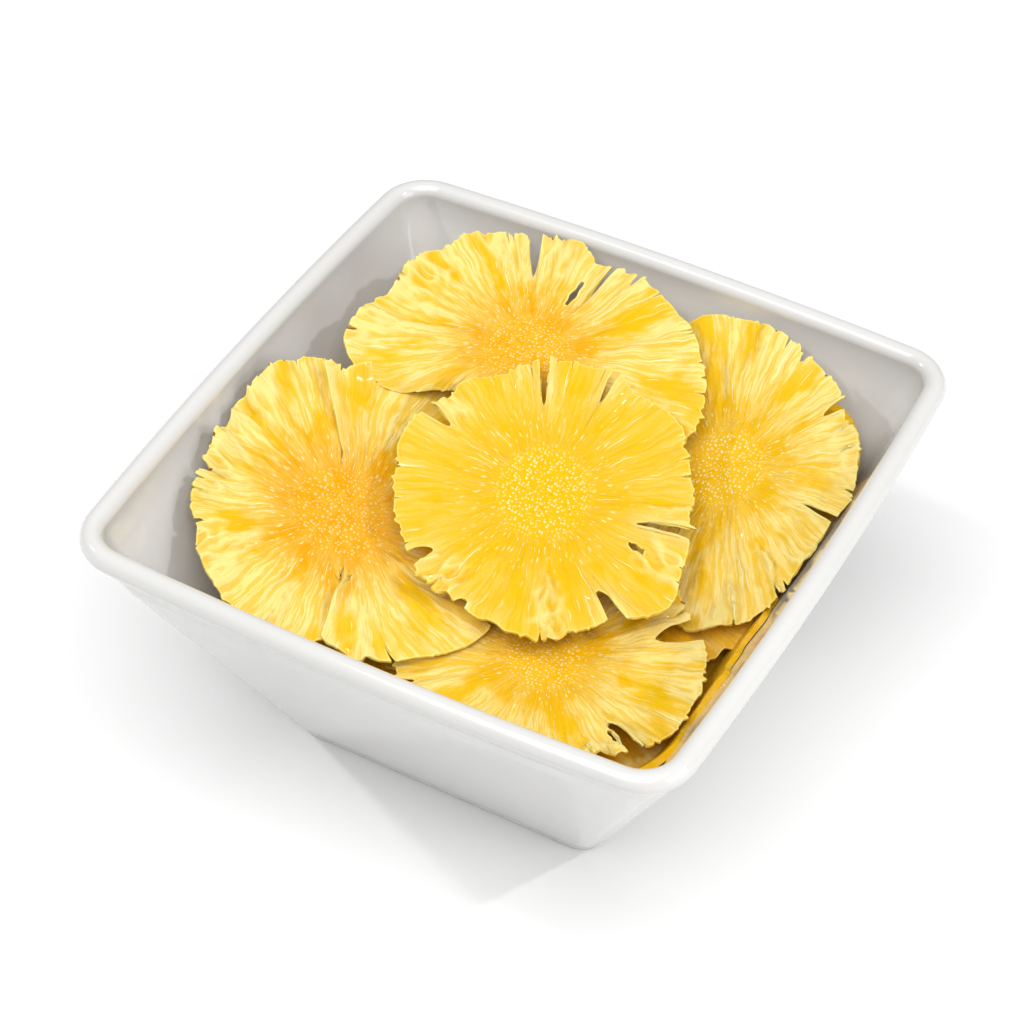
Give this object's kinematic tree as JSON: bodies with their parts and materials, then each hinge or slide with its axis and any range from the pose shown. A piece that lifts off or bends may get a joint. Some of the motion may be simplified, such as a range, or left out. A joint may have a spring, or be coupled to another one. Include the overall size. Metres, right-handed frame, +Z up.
{
  "type": "pineapple carpaccio in a square bowl",
  "caption": "Thin round slices of peeled pineapple, laid over one another in a deep square white porcelain bowl.",
  "frame": {"origin": "centre of the bowl's foot, on the surface that it stands on", "axes": "+Z up; the bowl's four sides face +X, -X, +Y and -Y; the pictured front corner is at +X -Y"},
  "size_m": [0.19, 0.19, 0.097],
  "materials": {
    "porcelain": "glossy white glaze",
    "pineapple": "wet, translucent yellow fruit flesh with pale radial fibres",
    "pineapple_beneath": "wet amber fruit flesh in the shade of the slices above"
  },
  "bodies": {
    "root": {"bowl": "porcelain", "slice_top": "pineapple", "slice_back": "pineapple", "slice_left": "pineapple", "slice_right": "pineapple", "slice_front": "pineapple", "slice_low_right": "pineapple_beneath", "slice_low_front": "pineapple_beneath", "slice_low_left": "pineapple_beneath", "slices_beneath": "pineapple_beneath"}
  },
  "joints": []
}
